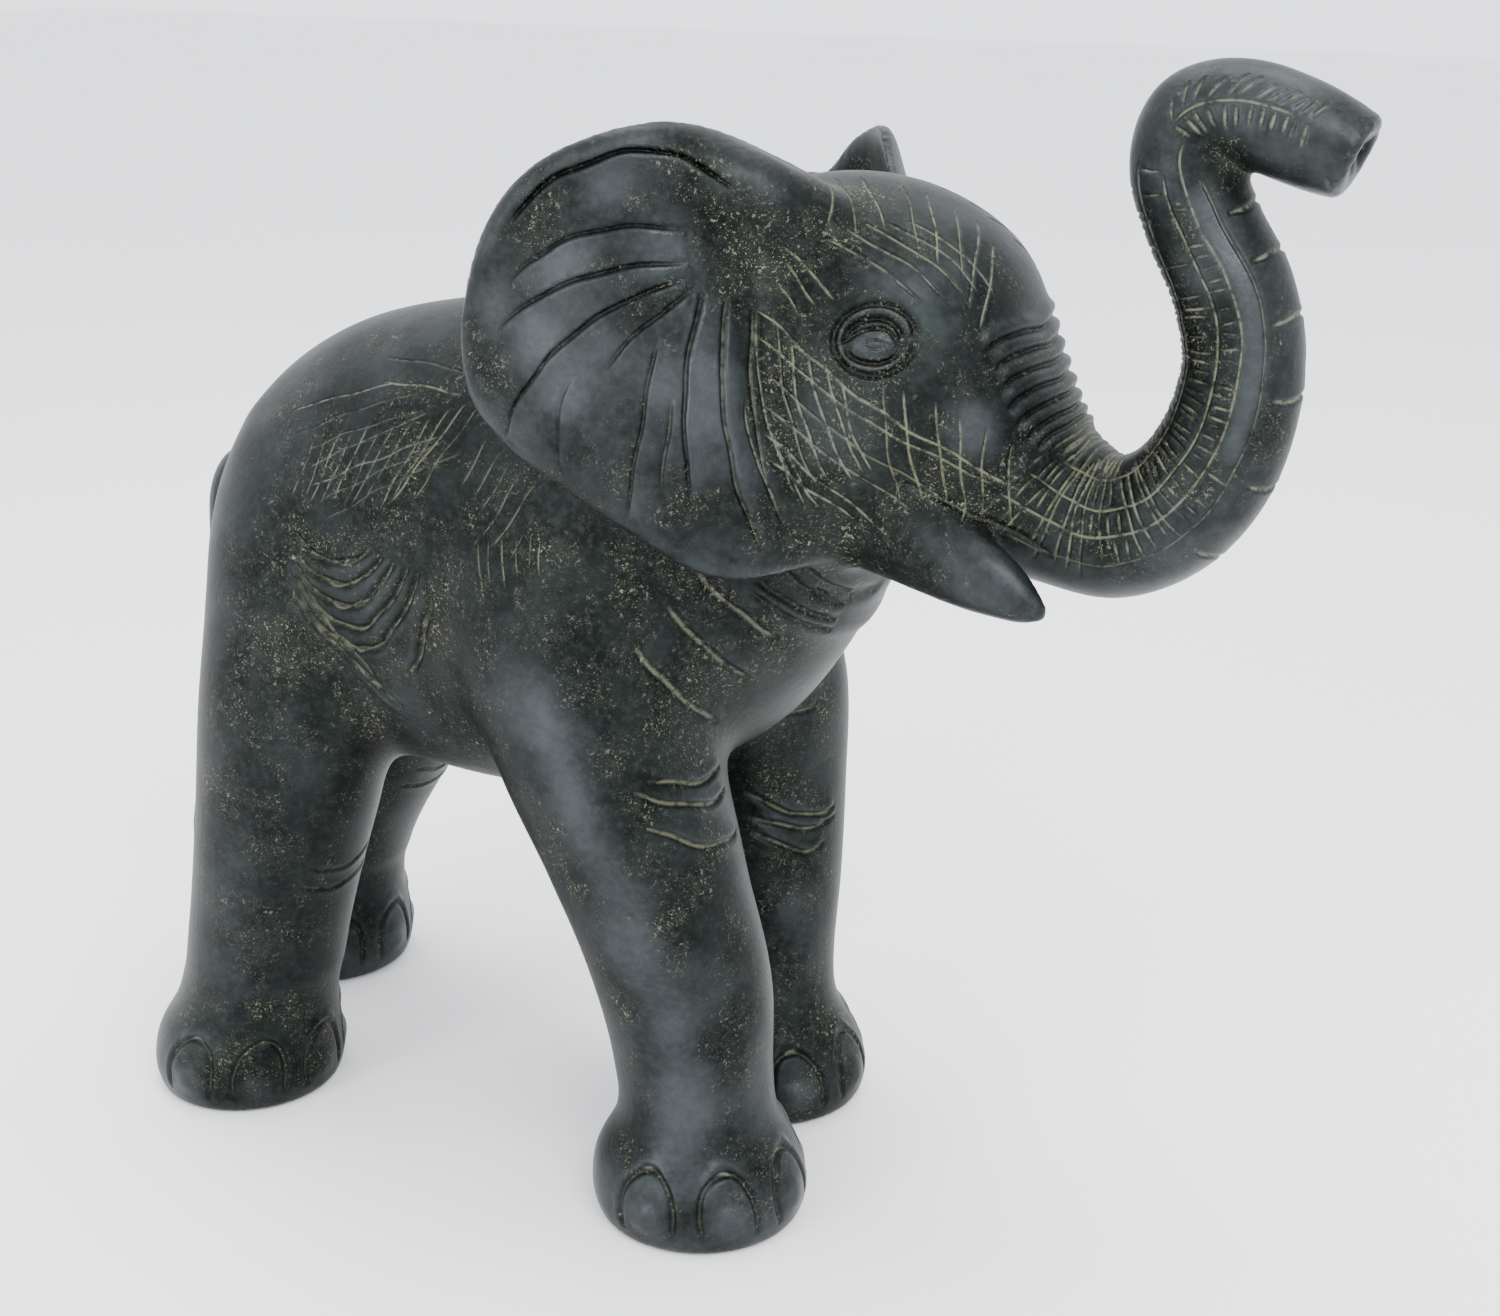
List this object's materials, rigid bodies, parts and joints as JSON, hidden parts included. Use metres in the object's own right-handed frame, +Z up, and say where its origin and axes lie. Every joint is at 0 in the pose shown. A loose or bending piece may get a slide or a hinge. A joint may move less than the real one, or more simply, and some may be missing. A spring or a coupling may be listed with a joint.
{
  "type": "elephant statuette",
  "caption": "Standing elephant statuette with raised S-shaped trunk, spread ears and tusks; hollow cast sections welded together, rests on flat soles.",
  "frame": {"origin": "on the floor, under the middle of the bounding box", "axes": "+X towards the trunk tip, +Y to the animal's left, +Z up from the floor"},
  "size_m": [0.5247, 0.1973, 0.446],
  "materials": {
    "patinated_bronze": "dark green-black chemical patina over cast bronze, satin, mineral dust in the scribed lines",
    "rubbed_bronze": "the same patina rubbed smooth to slate grey",
    "sole_plate": "dull brown-green patina, filed flat"
  },
  "bodies": {
    "root": {"torso": "patinated_bronze", "head": "patinated_bronze", "lower_jaw": "patinated_bronze", "trunk_lower": "patinated_bronze", "trunk_upper": "patinated_bronze", "ear_right": "patinated_bronze", "ear_left": "patinated_bronze", "tusk_right": "rubbed_bronze", "tusk_left": "rubbed_bronze", "leg_front_right": "patinated_bronze", "leg_front_left": "patinated_bronze", "leg_rear_right": "patinated_bronze", "leg_rear_left": "patinated_bronze", "sole_front_right": "sole_plate", "sole_front_left": "sole_plate", "sole_rear_right": "sole_plate", "sole_rear_left": "sole_plate", "tail": "patinated_bronze"}
  },
  "joints": []
}
